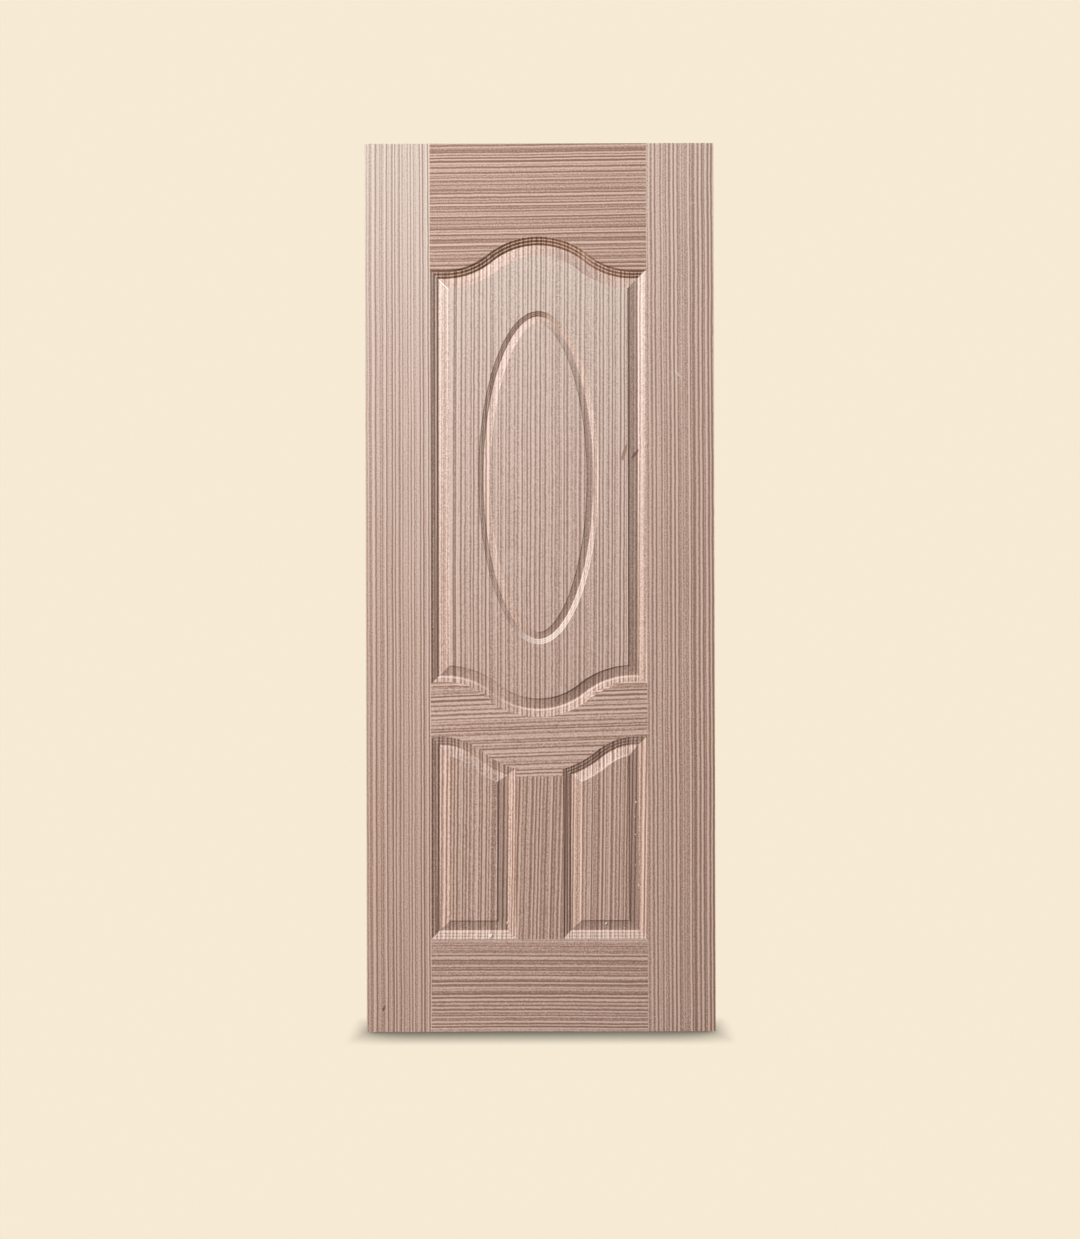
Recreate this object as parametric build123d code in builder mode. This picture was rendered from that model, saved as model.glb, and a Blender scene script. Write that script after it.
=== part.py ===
import os
from functools import partial
from math import atan2, cos, degrees, hypot, radians, sin, sqrt

from build123d import *

# A veneered three-panel door leaf, seen from its front.
# x runs from the left edge, y from the middle of the thickness towards the back, z from the bottom edge.

# The leaf
leaf_width = 838
leaf_height = 2134
leaf_thickness = 35
face_to_middle = leaf_thickness / 2

# Its layers, from the face inwards
veneer_thickness = 0.6
skin_thickness = 3.2
skin_back = veneer_thickness + skin_thickness

# Places of the panels on the leaf
panel_centre = 415.5
panel_half_width = 260
panel_left = panel_centre - panel_half_width
panel_right = panel_centre + panel_half_width
mullion_width = 112.5
mullion_left = panel_centre - mullion_width / 2
mullion_right = panel_centre + mullion_width / 2
mullion_joint_level = 613

# Upper panel: each end has a flat shoulder at both corners and a crown that swells out between them
upper_top_corner = 1831
upper_bottom_corner = 835
upper_shoulder = 35
upper_swell = 80
upper_shoulder_radius = 162

# Lower panels: flat at the bottom, with a top that drops from the stile towards the mullion
lower_top_corner = 709
lower_bottom = 222
lower_shoulder = 25
lower_drop = 85
lower_shoulder_radius = 153

# Moulding round a panel, as distances in from the panel's outline and depths below the leaf's face:
# a cove in two flats, a step, a ledge, and a second step down to the groove
cove_break = (5.2, 3.2)
cove_foot = (10.2, 3.8)
step_foot = (12.2, 6.2)
ledge_end = (16.2, 6.4)
groove_bottom = (19.2, 9)

# From the groove a bevel rises to the raised field
field_edge = 45

# Oval sunk into the upper panel's field, drawn with eight arcs: tight ends, flanks and long sides
oval_level = 1331
oval_width = 290
oval_height = 801
oval_end_radius = 63
oval_end_turn = 100
oval_flank_turn = 26
oval_side_turn = 180 - oval_end_turn - 2 * oval_flank_turn

# Its groove, measured the same way: a slope down, then a bevel back up
oval_bottom = (14, 5.5)
oval_field = (29, 0)

# Timber inside the leaf
stile_width = 38
end_rail_height = 38
mid_rail_height = 40
lock_block_width = 100
lock_block_height = 300
lock_block_level = 1000

# How far a moulding is run past a corner before it is trimmed, and the depth from which a cut starts
overrun = 40
above_face = -1


# Sides of the panels, drawn clockwise as seen from the front


def swell_angle(run, rise):
    """Turn in degrees of two equal opposite arcs that together run and rise this far."""
    return degrees(2 * atan2(rise, run))


def second_radius(run, rise, first_radius):
    """Radius of the second of two opposite arcs that together run and rise this far."""
    return (run**2 + rise**2) / (2 * rise) - first_radius


def straight_side(start, end, extra):
    """Straight side from corner to corner, and past both by extra."""
    length = hypot(end[0] - start[0], end[1] - start[1])
    past_x = extra * (end[0] - start[0]) / length
    past_z = extra * (end[1] - start[1]) / length
    Line((start[0] - past_x, start[1] - past_z), (end[0] + past_x, end[1] + past_z))


def crowned_side(start, heading, extra):
    """End of the upper panel: shoulder, hollow arc, crown, hollow arc, shoulder."""
    run = panel_half_width - upper_shoulder
    turn = swell_angle(run, upper_swell)
    crown_radius = second_radius(run, upper_swell, upper_shoulder_radius)
    corner, level = start
    first = Line((corner - heading * extra, level), (corner + heading * upper_shoulder, level))
    hollow = JernArc(first @ 1, first % 1, upper_shoulder_radius, turn)
    crown = JernArc(hollow @ 1, hollow % 1, crown_radius, -2 * turn)
    hollow = JernArc(crown @ 1, crown % 1, upper_shoulder_radius, turn)
    Line(hollow @ 1, hollow @ 1 + (upper_shoulder + extra) * (hollow % 1))


def dropped_side(extra):
    """Top of the lower left panel: shoulder, rounded arc, then a hollow arc cut off by the mullion."""
    run = panel_half_width - lower_shoulder
    turn = swell_angle(run, lower_drop)
    hollow_radius = second_radius(run, lower_drop, lower_shoulder_radius)
    cut_off = degrees(atan2(mullion_width / 2, sqrt(hollow_radius**2 - (mullion_width / 2) ** 2)))
    first = Line((panel_left - extra, lower_top_corner), (panel_left + lower_shoulder, lower_top_corner))
    rounded = JernArc(first @ 1, first % 1, lower_shoulder_radius, -turn)
    hollow = JernArc(rounded @ 1, rounded % 1, hollow_radius, turn - cut_off)
    if extra:
        Line(hollow @ 1, hollow @ 1 + extra * (hollow % 1))


def mullion_corner_level():
    """Level at which the lower panels' top edges meet the mullion."""
    run = panel_half_width - lower_shoulder
    hollow_radius = second_radius(run, lower_drop, lower_shoulder_radius)
    return lower_top_corner - lower_drop + hollow_radius - sqrt(hollow_radius**2 - (mullion_width / 2) ** 2)


upper_sides = [
    partial(straight_side, (panel_left, upper_bottom_corner), (panel_left, upper_top_corner)),
    partial(crowned_side, (panel_left, upper_top_corner), 1),
    partial(straight_side, (panel_right, upper_top_corner), (panel_right, upper_bottom_corner)),
    partial(crowned_side, (panel_right, upper_bottom_corner), -1),
]
lower_left_sides = [
    partial(straight_side, (panel_left, lower_bottom), (panel_left, lower_top_corner)),
    dropped_side,
    partial(straight_side, (mullion_left, mullion_corner_level()), (mullion_left, lower_bottom)),
    partial(straight_side, (mullion_left, lower_bottom), (panel_left, lower_bottom)),
]


def oval_radii():
    """Radii of the oval's flanks and sides that give its width and height."""
    end = radians(oval_end_turn / 2)
    flank = end + radians(oval_flank_turn)
    across = oval_width / 2 - oval_end_radius * sin(end)
    down = oval_height / 2 - oval_end_radius * (1 - cos(end))
    # flank * (sin flank - sin end) + side * (1 - sin flank) = across
    # flank * (cos end - cos flank) + side * cos flank = down
    divisor = (sin(flank) - sin(end)) * cos(flank) - (1 - sin(flank)) * (cos(end) - cos(flank))
    flank_radius = (across * cos(flank) - down * (1 - sin(flank))) / divisor
    side_radius = (down * (sin(flank) - sin(end)) - across * (cos(end) - cos(flank))) / divisor
    return flank_radius, side_radius


def draw_oval():
    """Oval, clockwise from where its top end meets the left flank."""
    flank_radius, side_radius = oval_radii()
    end = radians(oval_end_turn / 2)
    end_centre = oval_level + oval_height / 2 - oval_end_radius
    start = (panel_centre - oval_end_radius * sin(end), end_centre + oval_end_radius * cos(end))
    arc = JernArc(start, (cos(end), sin(end)), oval_end_radius, -oval_end_turn)
    for radius, turn in [
        (flank_radius, oval_flank_turn),
        (side_radius, oval_side_turn),
        (flank_radius, oval_flank_turn),
        (oval_end_radius, oval_end_turn),
        (flank_radius, oval_flank_turn),
        (side_radius, oval_side_turn),
        (flank_radius, oval_flank_turn),
    ]:
        arc = JernArc(arc @ 1, arc % 1, radius, -turn)


# Mouldings, cut square to each side and run along it


def face_plane(depth):
    """Front face of the leaf, or the plane this far below it."""
    return Plane.XZ.offset(face_to_middle - depth)


def section_plane(path):
    """Plane square to a side where it starts: x runs into the panel, y down into the leaf."""
    return Plane(origin=path @ 0, x_dir=Vector(0, 1, 0).cross(path % 0), z_dir=path % 0)


def panel_outline(sides):
    """Closed outline of a panel, x to the right and y up."""
    with BuildSketch() as outline:
        with BuildLine():
            for side in sides:
                side(0)
        make_face()
    return outline.sketch


def section_through(*points):
    """Filled section with these corners."""
    with BuildSketch() as section:
        with BuildLine():
            Polyline(*points, close=True)
        make_face()
    return section.sketch


def moulding_section(*points):
    """Section of the moulding, which passes through these points on its way to the groove."""
    return section_through((0, groove_bottom[1]), (0, 0), *points, groove_bottom)


# Section of what is cut away between a panel's edge and its raised field
field_cut = section_through(
    (field_edge, above_face),
    (-overrun, above_face),
    (-overrun, groove_bottom[1]),
    groove_bottom,
    (field_edge, 0),
)

# What is cut away for the oval's groove
oval_cut = section_through((0, above_face), (0, 0), oval_bottom, oval_field, (oval_field[0], above_face))

# The leaf's face has every step, and the hidden surfaces under it follow with plainer slopes
face_moulding = moulding_section(cove_break, cove_foot, step_foot, ledge_end)
joint_moulding = moulding_section(cove_break)
back_moulding = moulding_section()


def moulded_panel(sides, depth, moulding):
    """Panel whose moulded surface lies this far below the leaf's own, solid to the leaf's middle."""
    face = face_plane(depth)
    outline = panel_outline(sides)
    paths = []
    for side in sides:
        with BuildLine(face) as line:
            side(overrun)
        paths.append(line.wires()[0])

    with BuildPart() as frame:
        for path in paths:
            with BuildSketch(section_plane(path)):
                add(moulding)
            sweep(path=path)
        with BuildSketch(face):
            add(outline)
        extrude(amount=-groove_bottom[1], mode=Mode.INTERSECT)

    with BuildPart() as panel:
        with BuildSketch(face):
            add(outline)
        extrude(amount=depth - face_to_middle)
        for path in paths:
            with BuildSketch(section_plane(path)):
                add(field_cut)
            sweep(path=path, mode=Mode.SUBTRACT)
        add(frame.part)
    return panel.part


def with_oval(plain, depth):
    """Upper panel with its oval sunk in."""
    with BuildLine(face_plane(depth)) as line:
        draw_oval()
    oval = line.wires()[0]
    with BuildPart() as panel:
        add(plain)
        with BuildSketch(section_plane(oval)):
            add(oval_cut)
        sweep(path=oval, mode=Mode.SUBTRACT)
    return panel.part


# Panels down to the surfaces of the veneer, the skin and the skin's back

upper_to_veneer = with_oval(moulded_panel(upper_sides, 0, face_moulding), 0)
upper_to_skin = with_oval(moulded_panel(upper_sides, veneer_thickness, joint_moulding), veneer_thickness)
upper_to_back = with_oval(moulded_panel(upper_sides, skin_back, back_moulding), skin_back)
lower_to_veneer = moulded_panel(lower_left_sides, 0, face_moulding)
lower_to_skin = moulded_panel(lower_left_sides, veneer_thickness, joint_moulding)
lower_to_back = moulded_panel(lower_left_sides, skin_back, back_moulding)


def save(piece, name):
    """Label a finished piece and write it."""
    piece.label = name
    export_step(piece, f"parts/{name}.step")


def save_both_faces(piece, name):
    """Write the front piece and its mirror image on the back of the leaf."""
    with BuildPart() as back:
        add(piece)
        mirror(about=Plane.XZ, mode=Mode.REPLACE)
    save(piece, f"front_{name}")
    save(back.part, f"back_{name}")


os.makedirs("parts", exist_ok=True)

# Moulded panel veneers

with BuildPart() as upper_panel_veneer:
    add(upper_to_veneer)
    add(upper_to_skin, mode=Mode.SUBTRACT)
save_both_faces(upper_panel_veneer.part, "upper_panel_veneer")

with BuildPart() as lower_left_panel_veneer:
    add(lower_to_veneer)
    add(lower_to_skin, mode=Mode.SUBTRACT)
save_both_faces(lower_left_panel_veneer.part, "lower_left_panel_veneer")

with BuildPart() as lower_right_panel_veneer:
    add(lower_left_panel_veneer.part)
    mirror(about=Plane.YZ.offset(panel_centre), mode=Mode.REPLACE)
save_both_faces(lower_right_panel_veneer.part, "lower_right_panel_veneer")

# Flat veneers of the stiles, rails and mullion, cut round the panels


with BuildSketch() as panel_openings:
    add(panel_outline(upper_sides))
    add(panel_outline(lower_left_sides))
    add(panel_outline(lower_left_sides).mirror(Plane.YZ.offset(panel_centre)))


flat_veneers = {
    "left_stile_veneer": (0, panel_left, 0, leaf_height),
    "right_stile_veneer": (panel_right, leaf_width, 0, leaf_height),
    "top_rail_veneer": (panel_left, panel_right, upper_top_corner, leaf_height),
    "mid_rail_veneer": (panel_left, panel_right, mullion_joint_level, upper_bottom_corner),
    "bottom_rail_veneer": (panel_left, panel_right, 0, lower_bottom),
    "mullion_veneer": (mullion_left, mullion_right, lower_bottom, mullion_joint_level),
}
for name, (left, right, bottom, top) in flat_veneers.items():
    with BuildPart() as veneer:
        with BuildSketch(face_plane(0)):
            with Locations((left, bottom)):
                Rectangle(right - left, top - bottom, align=(Align.MIN, Align.MIN))
            add(panel_openings.sketch, mode=Mode.SUBTRACT)
        extrude(amount=-veneer_thickness)
    save_both_faces(veneer.part, name)

# Moulded skins under the veneer

with BuildPart() as upper_moulding:
    add(upper_to_skin)
    add(upper_to_back, mode=Mode.SUBTRACT)

with BuildPart() as lower_moulding:
    add(lower_to_skin)
    add(lower_to_back, mode=Mode.SUBTRACT)

with BuildPart() as skin:
    with BuildSketch(face_plane(veneer_thickness)):
        Rectangle(leaf_width, leaf_height, align=(Align.MIN, Align.MIN))
        add(panel_openings.sketch, mode=Mode.SUBTRACT)
    extrude(amount=-skin_thickness)
    add(upper_moulding.part)
    add(lower_moulding.part)
    add(lower_moulding.part.mirror(Plane.YZ.offset(panel_centre)))
save_both_faces(skin.part, "skin")

# Timber between the skins

core_thickness = leaf_thickness - 2 * skin_back
inner_width = leaf_width - 2 * stile_width
mid_rail_level = (lower_top_corner + upper_bottom_corner - upper_swell) / 2
lock_block_foot = lock_block_level - lock_block_height / 2
timbers = {
    "frame_left_stile": (0, 0, stile_width, leaf_height),
    "frame_right_stile": (leaf_width - stile_width, 0, stile_width, leaf_height),
    "frame_top_rail": (stile_width, leaf_height - end_rail_height, inner_width, end_rail_height),
    "frame_mid_rail": (stile_width, mid_rail_level - mid_rail_height / 2, inner_width, mid_rail_height),
    "frame_bottom_rail": (stile_width, 0, inner_width, end_rail_height),
    "left_lock_block": (stile_width, lock_block_foot, lock_block_width, lock_block_height),
    "right_lock_block": (
        leaf_width - stile_width - lock_block_width,
        lock_block_foot,
        lock_block_width,
        lock_block_height,
    ),
}
for name, (left, bottom, width, height) in timbers.items():
    with BuildPart() as timber:
        with BuildSketch(Plane.XZ):
            with Locations((left, bottom)):
                Rectangle(width, height, align=(Align.MIN, Align.MIN))
        extrude(amount=core_thickness / 2, both=True)
    save(timber.part, name)
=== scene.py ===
import math

import bmesh
import bpy
from mathutils import Matrix, Vector
from mathutils.bvhtree import BVHTree


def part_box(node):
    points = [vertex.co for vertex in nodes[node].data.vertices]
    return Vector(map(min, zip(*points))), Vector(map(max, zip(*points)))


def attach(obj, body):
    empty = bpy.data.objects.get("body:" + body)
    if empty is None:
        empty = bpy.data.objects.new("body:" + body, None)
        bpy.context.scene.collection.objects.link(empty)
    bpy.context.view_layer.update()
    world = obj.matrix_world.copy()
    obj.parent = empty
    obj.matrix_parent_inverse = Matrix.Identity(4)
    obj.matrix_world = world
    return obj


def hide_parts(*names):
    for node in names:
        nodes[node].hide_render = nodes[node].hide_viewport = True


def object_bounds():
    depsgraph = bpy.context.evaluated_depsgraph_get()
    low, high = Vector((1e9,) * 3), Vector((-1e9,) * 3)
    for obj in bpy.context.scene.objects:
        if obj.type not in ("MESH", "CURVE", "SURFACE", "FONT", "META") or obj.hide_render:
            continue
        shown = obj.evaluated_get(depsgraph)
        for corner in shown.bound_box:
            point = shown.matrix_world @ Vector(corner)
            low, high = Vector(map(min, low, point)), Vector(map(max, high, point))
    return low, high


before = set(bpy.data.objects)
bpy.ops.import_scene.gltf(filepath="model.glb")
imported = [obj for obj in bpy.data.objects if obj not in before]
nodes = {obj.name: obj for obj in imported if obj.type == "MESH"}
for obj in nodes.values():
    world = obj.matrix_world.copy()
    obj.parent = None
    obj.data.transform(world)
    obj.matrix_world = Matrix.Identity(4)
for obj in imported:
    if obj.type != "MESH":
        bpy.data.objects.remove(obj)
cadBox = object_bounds()

# Metres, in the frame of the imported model: the front faces -y, the leaf stands on z = 0

leafLow, leafHigh = cadBox
leafMiddle = (leafLow + leafHigh) / 2
upperLow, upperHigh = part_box("front_upper_panel_veneer")
lowerLow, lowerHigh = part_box("front_lower_left_panel_veneer")
panelMiddle = (upperLow.x + upperHigh.x) / 2
frontFace = leafLow.y
backFace = leafHigh.y
tiny = 0.0001  # slack in comparing places
mergeDistance = 0.00002


# Helpers for node trees


class Wire:
    # an output of a node: sums made with it add Math nodes, and [name] gives another output of its node

    def __init__(self, node, output=0):
        self.node = node
        self.output = output

    def __getitem__(self, output):
        return Wire(self.node, output)

    def __add__(self, other):
        return maths("ADD", self, other)

    def __sub__(self, other):
        return maths("SUBTRACT", self, other)

    def __rsub__(self, other):
        return maths("SUBTRACT", other, self)

    def __mul__(self, other):
        return maths("MULTIPLY", self, other)

    def __truediv__(self, other):
        return maths("DIVIDE", self, other)

    def __rtruediv__(self, other):
        return maths("DIVIDE", other, self)

    def __pow__(self, other):
        return maths("POWER", self, other)

    def __gt__(self, other):
        return maths("GREATER_THAN", self, other)

    def __lt__(self, other):
        return maths("LESS_THAN", self, other)

    def __abs__(self):
        return maths("ABSOLUTE", self)

    __radd__ = __add__
    __rmul__ = __mul__


def treeOf(*values):
    return next(value.node.id_data for value in values if isinstance(value, Wire))


def plug(socket, value):
    if isinstance(value, Wire):
        socket.id_data.links.new(value.node.outputs[value.output], socket)
    else:
        socket.default_value = value


def addNode(tree, kind, inputs=None, **settings):
    node = tree.nodes.new(kind)
    for name, value in settings.items():
        setattr(node, name, value)
    for name, value in (inputs or {}).items():
        plug(node.inputs[name], value)
    return Wire(node)


def maths(operation, *values):
    return addNode(treeOf(*values), "ShaderNodeMath", dict(enumerate(values)), operation=operation)


def clamped(total):
    # the last Math node of a sum keeps it between 0 and 1
    total.node.use_clamp = True
    return total


def ramp(value, fromLow, fromHigh, toLow=0.0, toHigh=1.0, smooth=False):
    return addNode(
        treeOf(value),
        "ShaderNodeMapRange",
        {"Value": value, "From Min": fromLow, "From Max": fromHigh, "To Min": toLow, "To Max": toHigh},
        interpolation_type="SMOOTHSTEP" if smooth else "LINEAR",
    )


def blend(factor, first, second, how="MIX"):
    first, second = (colour if isinstance(colour, Wire) else (*colour, 1) for colour in (first, second))
    mixed = addNode(
        treeOf(factor), "ShaderNodeMix", {0: factor, 6: first, 7: second}, data_type="RGBA", blend_type=how
    )
    return mixed[2]


def split(vector):
    parts = addNode(treeOf(vector), "ShaderNodeSeparateXYZ", {0: vector})
    return parts["X"], parts["Y"], parts["Z"]


def vectorOf(x, y, z):
    return addNode(treeOf(x, y, z), "ShaderNodeCombineXYZ", {0: x, 1: y, 2: z})


def newGroup(name, kind, inputs, outputs):
    # an input is given by its starting number or colour, or by the name of its kind
    tree = bpy.data.node_groups.new(name, kind)
    for label, value in inputs.items():
        socketType = {str: value, int: "Int", float: "Float", tuple: "Color"}[type(value)]
        socket = tree.interface.new_socket(label, in_out="INPUT", socket_type="NodeSocket" + socketType)
        if not isinstance(value, str):
            socket.default_value = value
    for label, socketType in outputs.items():
        tree.interface.new_socket(label, in_out="OUTPUT", socket_type="NodeSocket" + socketType)
    return tree, Wire(tree.nodes.new("NodeGroupInput")), tree.nodes.new("NodeGroupOutput").inputs


def addPiece(name, data):
    piece = bpy.data.objects.new(name, data)
    bpy.context.scene.collection.objects.link(piece)
    return piece


# Moulding sections: distance in from the panel's outline, depth below the face,
# and the radius to which the press rounds each corner

moulding = {
    "corners": [
        (0.0000, 0.0000, 0.0000),
        (0.0010, 0.0001, 0.0008),  # softened outer edge
        (0.0055, 0.0030, 0.0012),  # cove
        (0.0079, 0.0034, 0.0006),  # ledge
        (0.0126, 0.0065, 0.0006),  # first step
        (0.0150, 0.0069, 0.0006),  # ledge
        (0.0198, 0.0101, 0.0008),  # second step
        (0.0209, 0.0102, 0.0008),  # groove
        (0.0422, 0.0024, 0.0005),  # bevel
        (0.0449, 0.0002, 0.0006),  # rubbed lip of the raised field
        (0.0456, 0.0000, 0.0000),
    ],
    "roundSteps": 3,
}
ovalGroove = {
    "corners": [
        (0.0000, 0.0000, 0.0000),
        (0.0006, 0.0001, 0.0005),
        (0.0034, 0.0016, 0.0005),  # first step
        (0.0048, 0.0018, 0.0005),
        (0.0078, 0.0033, 0.0005),  # second step
        (0.0092, 0.0035, 0.0005),
        (0.0122, 0.0051, 0.0007),  # third step
        (0.0134, 0.0053, 0.0012),  # groove
        (0.0275, 0.0012, 0.0005),  # bevel
        (0.0290, 0.0001, 0.0004),
        (0.0296, 0.0000, 0.0000),
    ],
    "roundSteps": 3,
}
mostRounding = 0.45  # share of a side that a rounding may take


def softened(section):
    points = []
    corners = section["corners"]
    steps = section["roundSteps"]
    for number, (x, y, radius) in enumerate(corners):
        here = Vector((x, y))
        if radius == 0:
            points.append(here)
            continue
        before = Vector(corners[number - 1][:2]) - here
        after = Vector(corners[number + 1][:2]) - here
        room = min(before.length, after.length) * mostRounding
        reach = min(radius / math.tan(before.angle(after) / 2), room)
        start = here + before.normalized() * reach
        end = here + after.normalized() * reach
        for step in range(steps + 1):
            t = step / steps
            points.append(start.lerp(here, t).lerp(here.lerp(end, t), t))
    return points


def addLoop(data, points, closed=True, scales=None):
    spline = data.splines.new("POLY")
    spline.points.add(len(points) - 1)
    for number, point in enumerate(points):
        spline.points[number].co = (point[0], point[1], 0, 1)
        spline.points[number].radius = scales[number] if scales else 1
    spline.use_cyclic_u = closed


def makeCurve(name, points, closed=False, scales=None):
    data = bpy.data.curves.new(name, "CURVE")
    data.dimensions = "3D"
    data.twist_mode = "Z_UP"
    addLoop(data, points, closed, scales)
    return addPiece(name, data)


mouldingSection = makeCurve("mouldingSection", softened(moulding))
ovalSection = makeCurve("ovalSection", softened(ovalGroove))

# Outlines of the panels, drawn clockwise from the lower left corner as seen from the front

upperPanel = {
    "shoulder": 0.035,
    "swell": 0.080,
    "shoulderRadius": 0.162,
    "ovalMiddle": 1.331,
    "ovalWidth": 0.290,
    "ovalHeight": 0.801,
    "ovalPoints": 360,
}
lowerPanel = {
    "shoulder": 0.025,
    "drop": 0.085,
    "shoulderRadius": 0.153,
}
arcSpacing = 0.008


def bend(path, heading, radius, turn):
    # adds an arc that turns by this angle, to the left where it is positive, and gives the new heading
    steps = max(2, math.ceil(radius * abs(turn) / arcSpacing))
    side = math.copysign(1, turn)
    centre = path[-1] + side * radius * Vector((-math.sin(heading), math.cos(heading)))
    first = path[-1] - centre
    for step in range(1, steps + 1):
        path.append(centre + Matrix.Rotation(turn * step / steps, 2) @ first)
    return heading + turn


def swellTurn(run, rise):
    return 2 * math.atan2(rise, run)


def secondRadius(run, rise, firstRadius):
    return (run**2 + rise**2) / (2 * rise) - firstRadius


def crownedSide(start, heading):
    sizes = upperPanel
    run = (upperHigh.x - upperLow.x) / 2 - sizes["shoulder"]
    turn = swellTurn(run, sizes["swell"])
    crown = secondRadius(run, sizes["swell"], sizes["shoulderRadius"])
    ahead = Vector((math.cos(heading), math.sin(heading)))
    path = [start, start + ahead * sizes["shoulder"]]
    heading = bend(path, heading, sizes["shoulderRadius"], turn)
    heading = bend(path, heading, crown, -2 * turn)
    bend(path, heading, sizes["shoulderRadius"], turn)
    return path + [start + ahead * (upperHigh.x - upperLow.x)]


def upperOutline():
    swell = upperPanel["swell"]
    path = crownedSide(Vector((upperLow.x, upperHigh.z - swell)), 0)
    return path + crownedSide(Vector((upperHigh.x, upperLow.z + swell)), math.pi)


dropRun = panelMiddle - lowerLow.x - lowerPanel["shoulder"]
hollowRadius = secondRadius(dropRun, lowerPanel["drop"], lowerPanel["shoulderRadius"])


def lowerOutline():
    # the top drops towards the mullion, where it is cut off on its way to the door's middle
    turn = swellTurn(dropRun, lowerPanel["drop"])
    cutOff = math.asin((panelMiddle - lowerHigh.x) / hollowRadius)
    start = Vector((lowerLow.x, lowerHigh.z))
    path = [start, start + Vector((lowerPanel["shoulder"], 0))]
    heading = bend(path, 0, lowerPanel["shoulderRadius"], -turn)
    bend(path, heading, hollowRadius, turn - cutOff)
    return path + [Vector((lowerHigh.x, lowerLow.z)), Vector((lowerLow.x, lowerLow.z))]


def outlineCurve(name, outline):
    # each point carries the scale that its mitre needs
    scales = []
    for number, point in enumerate(outline):
        before = point - outline[number - 1]
        after = outline[(number + 1) % len(outline)] - point
        scales.append(1 / math.cos(before.angle(after) / 2))
    return makeCurve(name, outline, closed=True, scales=scales)


def sheetCurves():
    # the leaf's edge, and the three panels that are cut out of the flat sheet
    edge = [(leafLow.x, leafLow.z), (leafLow.x, leafHigh.z), (leafHigh.x, leafHigh.z), (leafHigh.x, leafLow.z)]
    lowerRight = [Vector((2 * panelMiddle - point.x, point.y)) for point in lowerOutline()]
    sheet = makeCurve("sheet", edge, closed=True)
    for outline in (upperOutline(), lowerOutline(), lowerRight):
        addLoop(sheet.data, outline)
    return sheet


# Geometry nodes: a section swept along an outline, with true mitres


def moved(geometry, **where):
    return addNode(treeOf(geometry), "GeometryNodeSetPosition", {"Geometry": geometry, **where})


def joined(*geometries):
    whole = addNode(treeOf(*geometries), "GeometryNodeJoinGeometry")
    for geometry in geometries:
        plug(whole.node.inputs[0], geometry)
    return whole


def merged(geometry):
    return addNode(
        treeOf(geometry), "GeometryNodeMergeByDistance", {"Geometry": geometry, "Distance": mergeDistance}
    )


def filled(curve, mode="TRIANGLES"):
    return addNode(treeOf(curve), "GeometryNodeFillCurve", {"Curve": curve}, mode=mode)


def finished(geometry, material):
    real = addNode(treeOf(geometry), "GeometryNodeRealizeInstances", {"Geometry": geometry})
    return addNode(treeOf(geometry), "GeometryNodeSetMaterial", {"Geometry": real, "Material": material})


def buildSweptSection():
    tree, given, result = newGroup(
        "sweptSection",
        "GeometryNodeTree",
        {"Path": "Geometry", "Section": "Geometry"},
        {"Mesh": "Geometry", "Inset": "Float"},
    )
    # the section is swept flat, and each point then sinks by its own depth
    kept = addNode(tree, "GeometryNodeCaptureAttribute", {"Geometry": given["Section"]})
    kept.node.capture_items.new("VECTOR", "Place")
    plug(kept.node.inputs["Place"], addNode(tree, "GeometryNodeInputPosition"))
    inset, depth, _ = split(kept["Place"])
    ribbon = addNode(
        tree,
        "GeometryNodeCurveToMesh",
        {
            "Curve": given["Path"],
            "Profile Curve": moved(kept, Position=vectorOf(inset, 0.0, 0.0)),
            "Scale": addNode(tree, "GeometryNodeInputRadius"),
        },
    )
    sunk = moved(ribbon, Offset=vectorOf(0.0, 0.0, depth * -1.0))
    named = addNode(
        tree,
        "GeometryNodeStoreNamedAttribute",
        {"Geometry": sunk, "Name": "inset", "Value": inset},
        data_type="FLOAT",
        domain="POINT",
    )
    plug(result["Mesh"], named)
    plug(result["Inset"], inset)
    return tree


sweptSection = buildSweptSection()


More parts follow.
